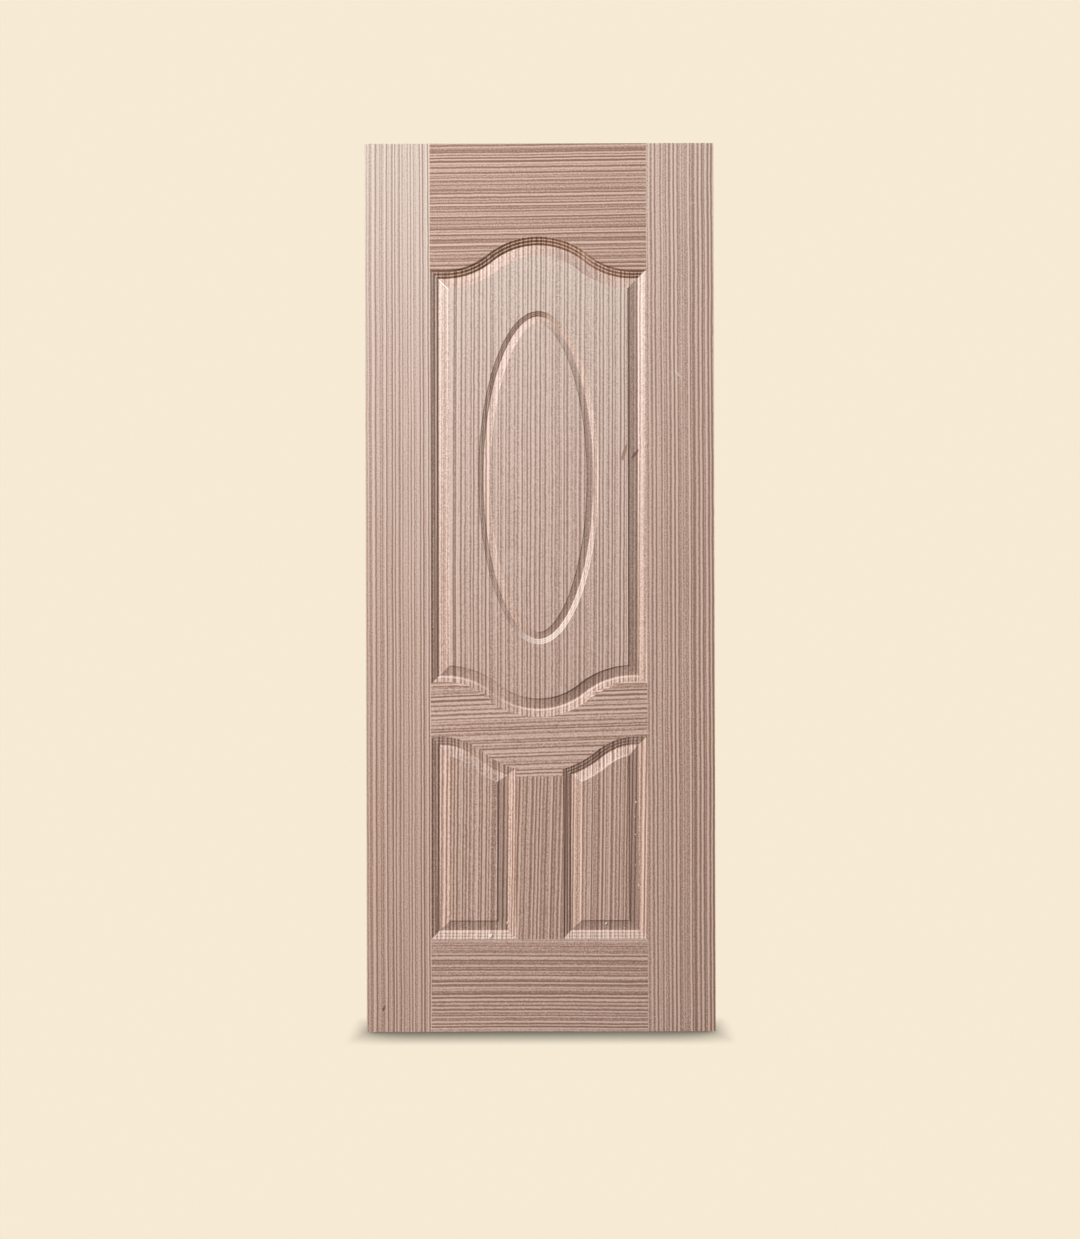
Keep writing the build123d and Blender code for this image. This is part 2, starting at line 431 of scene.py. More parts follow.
def buildMouldedFace(withOval):
    inputs = {
        "Outline": "Geometry",
        "Moulding Section": "Object",
        "Left": 0.0,
        "Right": 1.0,
        "Field Inset": 0.045,
        "Waist": 0.0,  # height that parts the top corners from the bottom ones
        "Arc Ends": 0.0,  # 1 where arcs reach the top corners
        "Left Arc": "Vector",  # middle across, middle up, radius
        "Right Arc": "Vector",
        "Material": "Material",
    }
    if withOval:
        inputs |= {
            "Oval Section": "Object",
            "Oval Middle": "Vector",
            "Oval Half Size": "Vector",
            "Oval Points": 360,
            "Oval Inset": 0.029,
        }
    name = "mouldedFaceWithOval" if withOval else "mouldedFace"
    tree, given, result = newGroup(name, "GeometryNodeTree", inputs, {"Face": "Geometry"})

    def sweep(path, sectionObject):
        section = addNode(tree, "GeometryNodeObjectInfo", {"Object": given[sectionObject]})
        return addNode(
            tree, "GeometryNodeGroup", {"Path": path, "Section": section["Geometry"]}, node_tree=sweptSection
        )

    def edgeLoop(mesh, inset, limit, operation):
        picked = addNode(tree, "FunctionNodeCompare", {"A": inset, "B": limit}, operation=operation)
        return addNode(tree, "GeometryNodeMeshToCurve", {"Mesh": mesh, "Selection": picked})

    ring = sweep(given["Outline"], "Moulding Section")
    inset = ring["Inset"]

    # points near a corner stop at its mitre
    x, upright, depth = split(addNode(tree, "GeometryNodeInputPosition"))
    leftStop = given["Left"] + inset
    rightStop = given["Right"] - inset
    across = maths("MINIMUM", maths("MAXIMUM", x, leftStop), rightStop)
    isTop = upright > given["Waist"]
    beyondLeft = x < leftStop + tiny / 10
    beyondRight = x > rightStop - tiny / 10
    for beyond, arc, way in ((beyondLeft, "Left Arc", -1.0), (beyondRight, "Right Arc", 1.0)):
        # the arch's offset arc, at the height where it meets the side's offset line
        centreAcross, centreUp, radius = split(given[arc])
        run = across - centreAcross
        if way < 0:
            run = maths("MAXIMUM", run, 0.0)
        rise = maths("SQRT", (radius + inset * way) ** 2.0 - run**2.0)
        meeting = centreUp - rise * way
        used = beyond * isTop * given["Arc Ends"]
        upright = addNode(tree, "ShaderNodeMix", {0: used, 2: upright, 3: meeting}, data_type="FLOAT")
    moulded = moved(ring["Mesh"], Position=vectorOf(across, upright, depth))
    loops = [edgeLoop(moulded, inset, given["Field Inset"] - tiny, "GREATER_THAN")]
    surfaces = [moulded]
    if withOval:
        circle = addNode(
            tree, "GeometryNodeCurvePrimitiveCircle", {"Resolution": given["Oval Points"], "Radius": 1.0}
        )
        clockwise = addNode(tree, "GeometryNodeReverseCurve", {"Curve": circle})
        oval = addNode(
            tree,
            "GeometryNodeTransform",
            {"Geometry": clockwise, "Translation": given["Oval Middle"], "Scale": given["Oval Half Size"]},
        )
        level = addNode(tree, "GeometryNodeSetCurveNormal", {"Curve": oval}, mode="Z_UP")
        groove = sweep(addNode(tree, "GeometryNodeSetCurveRadius", {"Curve": level, "Radius": 1.0}), "Oval Section")
        island = edgeLoop(groove["Mesh"], groove["Inset"], given["Oval Inset"] - tiny, "GREATER_THAN")
        loops.append(edgeLoop(groove["Mesh"], groove["Inset"], tiny, "LESS_THAN"))
        surfaces += [groove["Mesh"], filled(island, "NGONS")]
    whole = merged(joined(*surfaces, filled(joined(*loops))))
    plug(result["Face"], finished(whole, given["Material"]))
    return tree


def buildCutSheet():
    # flat sheet inside the outer loop of the curves, with the inner loops cut out
    tree, given, result = newGroup(
        "cutSheet", "GeometryNodeTree", {"Outlines": "Geometry", "Material": "Material"}, {"Sheet": "Geometry"}
    )
    plug(result["Sheet"], finished(filled(given["Outlines"]), given["Material"]))
    return tree


def buildThickened():
    # closed body between a face and its copy this far below
    tree, given, result = newGroup(
        "thickened",
        "GeometryNodeTree",
        {
            "Face": "Geometry",
            "Top": 0.0,
            "Thickness": 0.0006,
            "Material": "Material",
            "Rail Material": "Material",
            "Rail Width": -1.0,
            "Rail From": 0.14,
            "Middle": 0.419,
            "Shoulder": 0.0,
            "Half Height": 0.5,
        },
        {"Body": "Geometry"},
    )
    face = merged(moved(given["Face"], Offset=vectorOf(0.0, 0.0, given["Top"])))
    body = addNode(
        tree,
        "GeometryNodeExtrudeMesh",
        {
            "Mesh": face,
            "Offset": vectorOf(0.0, 0.0, given["Thickness"] * -1.0),
            "Offset Scale": 1.0,
            "Individual": False,
        },
    )
    turned = addNode(tree, "GeometryNodeFlipFaces", {"Mesh": body})
    dressed = finished(merged(joined(turned, face)), given["Material"])
    # on the shoulders, the rail's leaf reaches down into the cove
    inset = addNode(tree, "GeometryNodeInputNamedAttribute", {"Name": "inset"}, data_type="FLOAT")
    across, up, _ = split(addNode(tree, "GeometryNodeInputPosition"))
    onShoulder = abs(across - given["Middle"]) > given["Rail From"]
    atEnd = abs(up - given["Shoulder"]) > given["Half Height"] - inset - tiny
    inCove = (inset < given["Rail Width"]) * (inset > tiny)
    covered = addNode(
        tree,
        "GeometryNodeSetMaterial",
        {
            "Geometry": dressed,
            "Selection": onShoulder * atEnd * inCove > 0.5,
            "Material": given["Rail Material"],
        },
    )
    plug(result["Body"], covered)
    return tree


mouldedFace = buildMouldedFace(withOval=False)
mouldedFaceWithOval = buildMouldedFace(withOval=True)
cutSheet = buildCutSheet()
thickened = buildThickened()


def grow(name, source, tree, values):
    # the mesh that the nodes make of the source, which is then removed
    modifier = source.modifiers.new(name, "NODES")
    modifier.node_group = tree
    sockets = {item.name: item.identifier for item in tree.interface.items_tree if item.in_out == "INPUT"}
    for label, value in values.items():
        modifier[sockets[label]] = value
    source.update_tag()
    bpy.context.view_layer.update()
    mesh = bpy.data.meshes.new_from_object(source.evaluated_get(bpy.context.evaluated_depsgraph_get()))
    mesh.name = name
    bpy.data.objects.remove(source)
    return mesh


def meshObject(name, meshes):
    whole = bmesh.new()
    for mesh in meshes:
        whole.from_mesh(mesh)
    data = bpy.data.meshes.new(name)
    whole.to_mesh(data)
    whole.free()
    return addPiece(name, data)


# A leaf is made lying down, with y up the door; these stand it on the front or the back
lay = {
    "front": Matrix(((1, 0, 0, 0), (0, 0, -1, frontFace), (0, 1, 0, 0), (0, 0, 0, 1))),
    "back": Matrix(((1, 0, 0, 0), (0, 0, 1, backFace), (0, 1, 0, 0), (0, 0, 0, 1))),
}
swapSides = Matrix(((-1, 0, 0, 2 * panelMiddle), (0, 1, 0, 0), (0, 0, 1, 0), (0, 0, 0, 1)))
sharpAngle = 5.5  # degrees, past which an edge of a step stays crisp


def mirrored(mesh):
    data = mesh.copy()
    data.transform(swapSides)
    data.flip_normals()
    return data


def hang(mesh, name, side):
    data = mesh.copy()
    data.transform(lay[side])
    if side == "back":
        data.flip_normals()
    # the nodes leave an empty material slot first
    used = [material for material in data.materials if material]
    shift = len(data.materials) - len(used)
    numbers = [max(0, face.material_index - shift) for face in data.polygons]
    data.materials.clear()
    for material in used:
        data.materials.append(material)
    for face, number in zip(data.polygons, numbers):
        face.material_index = number
        face.use_smooth = True
    data.set_sharp_from_angle(angle=math.radians(sharpAngle))
    piece = addPiece(f"{side}_{name}_shaped", data)
    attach(piece, "root")
    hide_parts(f"{side}_{name}")


# Veneer: thin dark lines and pale bands, as sheets of dyed wood show when a block of them is sliced

block = {
    # sheets: how many to each main line, place in the block, solid core, reach, least strength, tone
    "lines": (1.0, 0.0, 0.06, 0.32, 0.5, -0.36),
    "fine": (1.76, 3.7, 0.05, 0.34, -0.4, -0.24),
    "shine": (1.21, 5.1, 0.04, 0.26, -0.5, 0.20),
    "bands": (0.52, 7.3, 0.14, 0.34, -0.7, None),  # the leaf's own band depth
    "unevenness": 0.68,
    "reachSpread": 0.16,
}
threads = {
    # fine fibres and the dye's own unevenness: place, how many to a metre, detail, roughness, tone
    "fibres": (0.0, 400.0, 1.0, 0.6, 0.62),
    "dye": (4.4, 190.0, 0.0, 0.5, 0.34),
}
fibre = {
    # noise: bumps to a metre across and along the grain, detail, then metres aside or tone
    "wander": (5.0, 2.6, 2.0, 0.0050),
    "ripple": (45.0, 26.0, 1.0, 0.0016),
    "slow": (150.0, 4.0, 2.0, 0.20),
    "fleck": (700.0, 170.0, 2.0, 0.30),
    "speckle": (330.0, 330.0, 1.0, 0.90),
    "pore": (1100.0, 90.0, 1.0, -0.10),
    "poreEdge": (0.13, 0.22),
}
finish = {
    "light": (0.810, 0.600, 0.512),
    "middle": (0.580, 0.384, 0.310),
    "dark": (0.315, 0.178, 0.128),
    "sheen": 0.5,  # how far the fibres draw out a highlight across the grain
    "reflection": 0.35,
    "bump": (0.35, 0.0003),
    "roughness": (-0.08, 0.62),  # by tone, and where the tone is darkest
    "relief": {"fleck": 0.7, "tone": 0.3, "pore": -0.5},
    "beside": -0.6,  # share of its neighbour's tone that a sheet loses
    "besideShift": 0.4,  # lines from a sheet to that neighbour
    "plainTone": 0.55,
    "seam": (0.0006, 0.0026, 1.0, 0.0),
    "seamTone": 0.22,
    "seedStep": 0.613,  # metres along the block for each whole seed
    "backShift": 31.7,
}
paintedLight = {
    # painted light and shade: slopes are made paler or darker by which way they face the lamp at the upper left
    # ranges: from, to, what it gives at the first and at the second
    # up is height up the door, lean is 1 where a slope faces up and -1 where it faces down,
    # away is above 0 where it faces the lower right and below 0 where it faces the upper left
    "awayX": 0.8,
    "awayZ": -0.6,
    # painted sheen: paler towards the top, less on slopes
    "fadeUp": (0.35, 2.10, 0.0, 1.0),
    "fadeCurve": 1.7,
    "fadePatches": 0.10,
    "fadeSteep": (0.08, 0.36, 1.0, 0.35),
    "fadeAway": (0.12, 0.24, 1.0, 0.5),
    "fadeUnder": (-0.14, -0.05, 0.35, 1.0),
    "fadeTone": (1.15, 0.44),
    "fadeColour": (0.90, 0.80, 0.725),
    # painted light: the low panels' slopes are paler where they face up
    "paleLean": (0.18, 0.31),
    "paleSteep": (0.38, 0.46, 1.0, 0.0),
    "paleUp": (0.80, 1.0, 0.50, 0.0),
    "paleColour": (0.95, 0.79, 0.705),
    # painted highlight: steep slopes turned up are paler, the innermost step most
    "rubbedLean": (0.36, 0.52, 0.0, 0.28),
    "rubbedDepth": (-0.0070, -0.0064, 1.25, 0.1),
    "rubbedUp": (0.70, 0.74, 1.0, 0.0),
    "rubbedColour": (0.93, 0.84, 0.75),
    # painted light: the oval's foot is paler where its steps face up or to the upper left
    "footUp": (1.02, 1.28, 1.0, 0.0),
    "footFrom": 0.90,
    "footHalfWidth": 0.16,
    "footLean": (0.24, 0.37, 0.0, 0.62),
    "footAway": (-0.41, -0.31, 0.50, 0.0),
    # painted shade: steep slopes are darker, most on those turned down
    "stainLean": (-0.45, -0.35, 1.0, 0.0),
    "stainUp": (0.9, 1.9),
    "stainAway": (0.28, 0.40, 0.0, 0.25),
    "stainColour": (0.50, 0.34, 0.23),
}


def stretched(across, along, seed, acrossScale, alongScale):
    return vectorOf(across * acrossScale, along * alongScale, seed)


def addNoise(place, detail=2.0):
    # noise around zero
    return addNode(treeOf(place), "ShaderNodeTexNoise", {"Vector": place, "Scale": 1.0, "Detail": detail}) - 0.5


def addSheets(across, perMetre, more, offset, core, reach, least):
    # one sheet in each cell of a one-dimensional Voronoi pattern, each as strong as chance has it
    tree = treeOf(across)
    cells = addNode(
        tree,
        "ShaderNodeTexVoronoi",
        {"W": across + offset, "Scale": perMetre * more, "Randomness": block["unevenness"]},
        voronoi_dimensions="1D",
    )
    chance = addNode(tree, "ShaderNodeSeparateColor", {0: cells["Color"]})
    edge = chance[1] * block["reachSpread"] + (reach - block["reachSpread"] / 2)
    sheet = ramp(cells["Distance"], core, edge, 1.0, 0.0, smooth=True) * ramp(chance, 0.0, 1.0, least, 1.0)
    return maths("MAXIMUM", sheet, 0.0)


def buildBlock():
    # tone of the block's sheets across the grain: dark ones below zero, pale ones above
    tree, given, result = newGroup(
        "veneerSheets",
        "ShaderNodeTree",
        {"Across": 0.0, "Per Metre": 115.0, "Band Depth": 0.13},
        {"Tone": "Float"},
    )
    across = given["Across"]
    tone = 0.0
    for name in ("lines", "fine", "shine", "bands"):
        *values, depth = block[name]
        tone = tone + addSheets(across, given["Per Metre"], *values) * (depth or given["Band Depth"] * -1.0)
    for offset, perMetre, detail, roughness, depth in threads.values():
        noise = addNode(
            tree,
            "ShaderNodeTexNoise",
            {"W": across + offset, "Scale": perMetre, "Detail": detail, "Roughness": roughness},
            noise_dimensions="1D",
        )
        tone += (noise - 0.5) * depth
    plug(result["Tone"], tone)
    return tree


veneerSheets = buildBlock()


def buildStripes():
    tree, given, result = newGroup(
        "stripedVeneer",
        "ShaderNodeTree",
        {
            "Place": "Vector",  # turned to the leaf's grain
            "Whereabouts": "Vector",  # on the door
            "Facing": "Vector",
            "Seed": 0.0,
            "Light": (0.66, 0.49, 0.42, 1),
            "Middle": (0.50, 0.35, 0.29, 1),
            "Dark": (0.34, 0.215, 0.175, 1),
            "Contrast": 1.0,
            "Painted Sheen": 1.0,
            "Line Spacing": 0.0088,
            "Band Depth": 0.13,
            "Ground": 0.66,
            "Seam": -10.0,  # where the leaf's edge meets its neighbour, across the door
        },
        {"Color": "Color", "Roughness": "Float", "Height": "Float"},
    )
    across, through, along = split(given["Place"])
    doorAcross, doorThrough, doorUp = split(given["Whereabouts"])
    leanAcross, _, lean = split(given["Facing"])
    # the back's leaves come from another place in the block
    seed = (through > 0.0) * finish["backShift"] + given["Seed"]
    noise = {}
    for name in ("wander", "ripple", "slow", "fleck", "speckle", "pore"):
        acrossScale, alongScale, detail, _ = fibre[name]
        noise[name] = addNoise(stretched(across, along, seed, acrossScale, alongScale), detail)
    noise["pore"] = ramp(noise["pore"], *fibre["poreEdge"])

    # the lines run nearly straight
    wavy = seed * finish["seedStep"] + across
    for name in ("wander", "ripple"):
        wavy += noise[name] * fibre[name][-1]

    # a sheet shows darker beside a pale one, which keeps the stripes even over the whole leaf
    tone = given["Ground"]
    for shift, share in ((0.0, 1.0), (finish["besideShift"], finish["beside"])):
        sheets = addNode(
            tree,
            "ShaderNodeGroup",
            {
                "Across": given["Line Spacing"] * shift + wavy,
                "Per Metre": 1.0 / given["Line Spacing"],
                "Band Depth": given["Band Depth"],
            },
            node_tree=veneerSheets,
        )
        tone += sheets * share
    for name in ("slow", "fleck", "speckle", "pore"):
        tone += noise[name] * fibre[name][-1]
    # a pale line runs along the leaf's edge where it meets its neighbour
    tone += ramp(abs(doorAcross - given["Seam"]), *finish["seam"]) * finish["seamTone"]
    tone = clamped((tone - finish["plainTone"]) * given["Contrast"] + 0.5)
    colour = blend(clamped(tone * 2.0), given["Dark"], given["Middle"])
    colour = blend(clamped(tone * 2.0 - 1.0), colour, given["Light"])

    away = leanAcross * paintedLight["awayX"] + lean * paintedLight["awayZ"]
    # painted sheen: the veneer is mixed paler towards the top, less on slopes, on slopes turned to the lower right
    # and on those turned down
    toneShare, plainShare = paintedLight["fadeTone"]
    sheenMask = ramp(doorUp, *paintedLight["fadeUp"]) ** paintedLight["fadeCurve"] + noise["slow"] * paintedLight["fadePatches"]
    sheenMask *= ramp(abs(lean), *paintedLight["fadeSteep"])
    sheenMask *= ramp(away, *paintedLight["fadeAway"])
    sheenMask *= ramp(lean, *paintedLight["fadeUnder"])
    sheenMask *= tone * toneShare + plainShare
    colour = blend(clamped(sheenMask * given["Painted Sheen"]), colour, paintedLight["fadeColour"])

    # painted light: the low panels' slopes are made paler where they face up
    pale = ramp(lean, *paintedLight["paleLean"], smooth=True) * ramp(lean, *paintedLight["paleSteep"])
    pale *= ramp(doorUp, *paintedLight["paleUp"]) * tone
    colour = blend(pale, colour, paintedLight["paleColour"])

    # painted highlight: steep slopes turned up are made paler, the innermost step most
    innermost = ramp(abs(doorThrough) - backFace, *paintedLight["rubbedDepth"])
    highlightReach = maths("MAXIMUM", innermost, ramp(doorUp, *paintedLight["rubbedUp"]))
    rubbed = ramp(lean, *paintedLight["rubbedLean"], smooth=True) * highlightReach
    # painted light: the oval's foot is made paler where its steps face up or to the upper left
    litFoot = ramp(doorUp, *paintedLight["footUp"]) * (doorUp > paintedLight["footFrom"])
    litFoot *= abs(doorAcross - panelMiddle) < paintedLight["footHalfWidth"]
    footLean = ramp(lean, *paintedLight["footLean"], smooth=True)
    litFoot *= maths("MAXIMUM", footLean, ramp(away, *paintedLight["footAway"], smooth=True))
    colour = blend(maths("MAXIMUM", rubbed, litFoot), colour, paintedLight["rubbedColour"])

    # painted shade: steep slopes turned down and slopes turned to the lower right are made darker
    below = ramp(lean, *paintedLight["stainLean"], smooth=True) * ramp(doorUp, *paintedLight["stainUp"])
    beside = ramp(away, *paintedLight["stainAway"], smooth=True)
    colour = blend(maths("MAXIMUM", below, beside), colour, paintedLight["stainColour"], "MULTIPLY")

    byTone, darkest = finish["roughness"]
    relief = finish["relief"]
    plug(result["Color"], colour)
    plug(result["Roughness"], tone * byTone + darkest)
    plug(
        result["Height"],
        noise["fleck"] * relief["fleck"] + tone * relief["tone"] + noise["pore"] * relief["pore"],
    )
    return tree


stripedVeneer = buildStripes()

veneer = {
    # leaf: grain's lean from upright in degrees, place in the block, contrast, painted sheen, line spacing,
    # band depth, ground tone
    "left_stile": (0.0, 0.0, 1.78, 0.46, 0.0097, 0.12, 0.610),
    "right_stile": (0.1, 3.1, 2.02, 0.17, 0.0100, 0.14, 0.597),
    "mullion": (-1.4, 5.2, 2.07, 0.0, 0.0098, 0.14, 0.573),
    "upper_panel": (-0.3, 7.7, 1.88, 0.53, 0.0098, 0.12, 0.620),
    "lower_left_panel": (-0.7, 11.3, 2.2, 0.0, 0.0099, 0.14, 0.61),
    "lower_right_panel": (-0.9, 13.9, 2.3, 0.0, 0.0099, 0.14, 0.60),
    "top_rail": (90.8, 17.1, 1.80, 0.0, 0.0107, 0.18, 0.565),
    "mid_rail": (91.8, 19.4, 1.85, 0.0, 0.0105, 0.16, 0.64),
    "bottom_rail": (89.8, 23.8, 1.95, 0.0, 0.0102, 0.16, 0.57),
}
seams = {
    "left_stile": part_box("front_left_stile_veneer")[1].x,
    "right_stile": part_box("front_right_stile_veneer")[0].x,
}
marks = {
    # leaf, middle across and up the door, half length, half width, lean from upright, colour, strength
    "smear on the field": ("upper_panel", 0.6215, 1.3900, 0.026, 0.0048, 17, (0.36, 0.19, 0.12), 0.80),
    "smear on the slope": ("upper_panel", 0.6478, 1.3870, 0.017, 0.0040, 38, (0.20, 0.09, 0.07), 0.80),
    "scratch": ("right_stile", 0.7523, 1.5776, 0.017, 0.0012, -39, (0.95, 0.90, 0.84), 0.75),
    "nick": ("right_stile", 0.7870, 1.9900, 0.009, 0.0011, 84, (0.95, 0.90, 0.84), 0.45),
    "drip": ("left_stile", 0.0410, 0.0565, 0.008, 0.0034, 24, (0.10, 0.045, 0.03), 0.80),
    "rubbed mitre": ("upper_panel", 0.1880, 1.7965, 0.023, 0.0018, -45, (0.97, 0.90, 0.83), 0.80),
    "rubbed patch": ("upper_panel", 0.3500, 1.1300, 0.036, 0.0260, 8, (0.86, 0.77, 0.71), 0.10),
}
markEdge = {"noise": (320.0, 180.0), "raggedness": 1.4, "fading": (0.3, 1.1)}


def addMark(colour, across, up, onFront, mark):
    # an uneven spot, longest along its lean
    _, middleAcross, middleUp, halfLength, halfWidth, lean, tint, strength = mark
    turned = addNode(
        treeOf(colour),
        "ShaderNodeMapping",
        {
            "Vector": vectorOf(across - middleAcross, 0.0, up - middleUp),
            "Rotation": (0, math.radians(-lean), 0),
        },
    )
    x, _, z = split(turned)
    ragged = addNoise(stretched(across, up, middleAcross, *markEdge["noise"]))
    wide = x / halfWidth
    long = z / halfLength
    reach = wide * wide + long * long + ragged * markEdge["raggedness"]
    return blend(ramp(reach, *markEdge["fading"], onFront * strength, 0.0, smooth=True), colour, tint)


def newMaterial(name):
    material = bpy.data.materials.new(name)
    material.use_nodes = True
    return material, material.node_tree, material.node_tree.nodes["Principled BSDF"]


def dressShader(shader, colour, roughness, height, bump):
    strength, distance = bump
    plug(shader.inputs["Base Color"], colour)
    plug(shader.inputs["Roughness"], roughness)
    raised = addNode(
        shader.id_data, "ShaderNodeBump", {"Strength": strength, "Distance": distance, "Height": height}
    )
    plug(shader.inputs["Normal"], raised)


def veneerMaterial(name, turn, seed, contrast, paintedSheen, spacing, bandDepth, ground):
    material, tree, shader = newMaterial("veneer_" + name)
    place = addNode(tree, "ShaderNodeTexCoord")
    turned = addNode(
        tree, "ShaderNodeMapping", {"Vector": place["Object"], "Rotation": (0, math.radians(turn), 0)}
    )
    values = {
        "Place": turned,
        "Whereabouts": place["Object"],
        "Facing": place["Normal"],
        "Seed": seed,
        "Contrast": contrast,
        "Painted Sheen": paintedSheen,
        "Line Spacing": spacing,
        "Band Depth": bandDepth,
        "Ground": ground,
    }
    if name in seams:
        values["Seam"] = seams[name]
    for shade in ("light", "middle", "dark"):
        values[shade.capitalize()] = (*finish[shade], 1)
    grain = addNode(tree, "ShaderNodeGroup", values, node_tree=stripedVeneer)
    colour = grain["Color"]
    across, through, up = split(place["Object"])
    for mark in marks.values():
        if mark[0] == name:
            colour = addMark(colour, across, up, through < 0.0, mark)
    dressShader(shader, colour, grain["Roughness"], grain["Height"], finish["bump"])
    shader.inputs["Specular IOR Level"].default_value = finish["reflection"]
    shader.inputs["Anisotropic"].default_value = finish["sheen"]
    # the highlight is drawn out across the grain
    shader.inputs["Anisotropic Rotation"].default_value = 0.25 if turn > 45 else 0.0
    return material


def dress(node, material):
    node.data.materials.clear()
    node.data.materials.append(material)


veneerMaterials = {}
for name, values in veneer.items():
    veneerMaterials[name] = veneerMaterial(name, *values)
    for side in ("front", "back"):
        dress(nodes[f"{side}_{name}_veneer"], veneerMaterials[name])
print("veneer laid on the flat leaves")

# Fibreboard of the skins and softwood of the frame, which show at the edges of the leaf

layers = {"veneer": 0.0006, "board": 0.0032}
board = {
    "fibre": (0.165, 0.088, 0.045),
    "pale": (0.315, 0.195, 0.110),
    "core": (0.75, 0.15),  # how pale the board is in its middle and at its faces
    # noises: bumps to a metre each way, detail, roughness
    "fibres": ((380.0, 2600.0, 380.0), 4.0, 0.65),
    "fibreContrast": 1.8,
    "blots": ((26.0, 26.0, 26.0), 2.0),
    "blotDepth": 0.35,
    "roughness": 0.85,
    "bump": (0.5, 0.0004),
}
timber = {
    "early": (0.690, 0.500, 0.300),
    "late": (0.470, 0.270, 0.120),
    "uprightHeart": (0.40, 0.09),  # middle of the growth rings, beside the piece
    "levelHeart": (1.05, -0.11),
    "ringSpacing": 0.0042,
    "ringCurve": 3.0,
    "ringEdge": (0.1, 0.9),
    "ringDepth": 0.75,
    "sway": ((9.0, 9.0, 1.3), 3.0),
    "swayDepth": 0.030,
    "pores": ((1500.0, 1500.0, 60.0), 2.0),
    "poreDepth": 0.5,
    "roughness": 0.62,
    "bump": (0.4, 0.0003),
}


def mottled(place, scale, detail, roughness=0.5):
    tree = treeOf(place)
    scaled = addNode(tree, "ShaderNodeMapping", {"Vector": place, "Scale": scale})
    return addNode(
        tree,
        "ShaderNodeTexNoise",
        {"Vector": scaled, "Scale": 1.0, "Detail": detail, "Roughness": roughness},
    )


def boardFinish():
    # pressed fibres: darker and denser at both faces of the board, with pale flecks
    material, tree, shader = newMaterial("pressed_board")
    place = addNode(tree, "ShaderNodeTexCoord")["Object"]
    half = layers["board"] / 2
    toFace = backFace - layers["veneer"] - abs(split(place)[1])
    core = ramp(abs(toFace - half), 0.0, half, *board["core"])
    fibres = mottled(place, *board["fibres"])
    blot = mottled(place, *board["blots"]) - 0.5
    mixed = clamped((core * fibres + blot * board["blotDepth"]) * board["fibreContrast"])
    colour = blend(mixed, board["fibre"], board["pale"])
    dressShader(shader, colour, board["roughness"], fibres, board["bump"])
    return material


def timberFinish(name, upright, heart):
    # growth rings cut lengthwise, with the grain along the piece
    material, tree, shader = newMaterial(name)
    place = addNode(tree, "ShaderNodeTexCoord")["Object"]
    turned = addNode(
        tree, "ShaderNodeMapping", {"Vector": place, "Rotation": (0, 0 if upright else math.radians(90), 0)}
    )
    x, y, _ = split(turned)
    sway = (mottled(turned, *timber["sway"]) - 0.5) * timber["swayDepth"]
    radius = maths("SQRT", (x - heart[0] + sway) ** 2.0 + (y - heart[1] + sway) ** 2.0)
    ring = maths("FRACT", radius / timber["ringSpacing"])
    late = ramp(ring ** timber["ringCurve"], *timber["ringEdge"], smooth=True)
    pores = mottled(turned, *timber["pores"])
    mixed = clamped((pores - 0.5) * timber["poreDepth"] + late * timber["ringDepth"])
    colour = blend(mixed, timber["early"], timber["late"])
    dressShader(shader, colour, timber["roughness"], pores, timber["bump"])
    return material


boardMaterial = boardFinish()
uprightTimber = timberFinish("frame_timber_upright", True, timber["uprightHeart"])
levelTimber = timberFinish("frame_timber_level", False, timber["levelHeart"])
for name, node in nodes.items():
    if name.endswith("_rail") and name.startswith("frame_"):
        dress(node, levelTimber)
    elif name.startswith("frame_") or name.endswith("lock_block"):
        dress(node, uprightTimber)
    elif name.endswith("skin"):
        dress(node, boardMaterial)
print("board and timber finished")

# Moulded leaves, and the board that they are glued on


def moulded(name, outline, low, high, tree, extra):
    values = {
        "Moulding Section": mouldingSection,
        "Left": low.x,
        "Right": high.x,
        "Field Inset": moulding["corners"][-1][0],
        **extra,
    }
    return grow(name, outlineCurve(name, outline), tree, values)


upperFace = moulded(
    "upperFace",
    upperOutline(),
    upperLow,
    upperHigh,
    mouldedFaceWithOval,
    {
        "Oval Section": ovalSection,
        "Oval Middle": (panelMiddle, upperPanel["ovalMiddle"], 0),
        "Oval Half Size": (upperPanel["ovalWidth"] / 2, upperPanel["ovalHeight"] / 2, 1),
        "Oval Points": upperPanel["ovalPoints"],
        "Oval Inset": ovalGroove["corners"][-1][0],
    },
)
lowerFace = moulded(
    "lowerFace",
    lowerOutline(),
    lowerLow,
    lowerHigh,
    mouldedFace,
    {
        "Waist": (lowerLow.z + lowerHigh.z) / 2,
        "Arc Ends": 1.0,
        "Left Arc": (
            lowerLow.x + lowerPanel["shoulder"],
            lowerHigh.z - lowerPanel["shoulderRadius"],
            lowerPanel["shoulderRadius"],
        ),
        "Right Arc": (panelMiddle, lowerHigh.z - lowerPanel["drop"] + hollowRadius, hollowRadius),
    },
)
leaves = {
    "upper_panel": upperFace,
    "lower_left_panel": lowerFace,
    "lower_right_panel": mirrored(lowerFace),
}
railReach = {
    # how the top rail's veneer runs down into the cove: how far in, and how far from the middle it starts
    "Rail Width": 0.0052,
    "Rail From": 0.115,
}
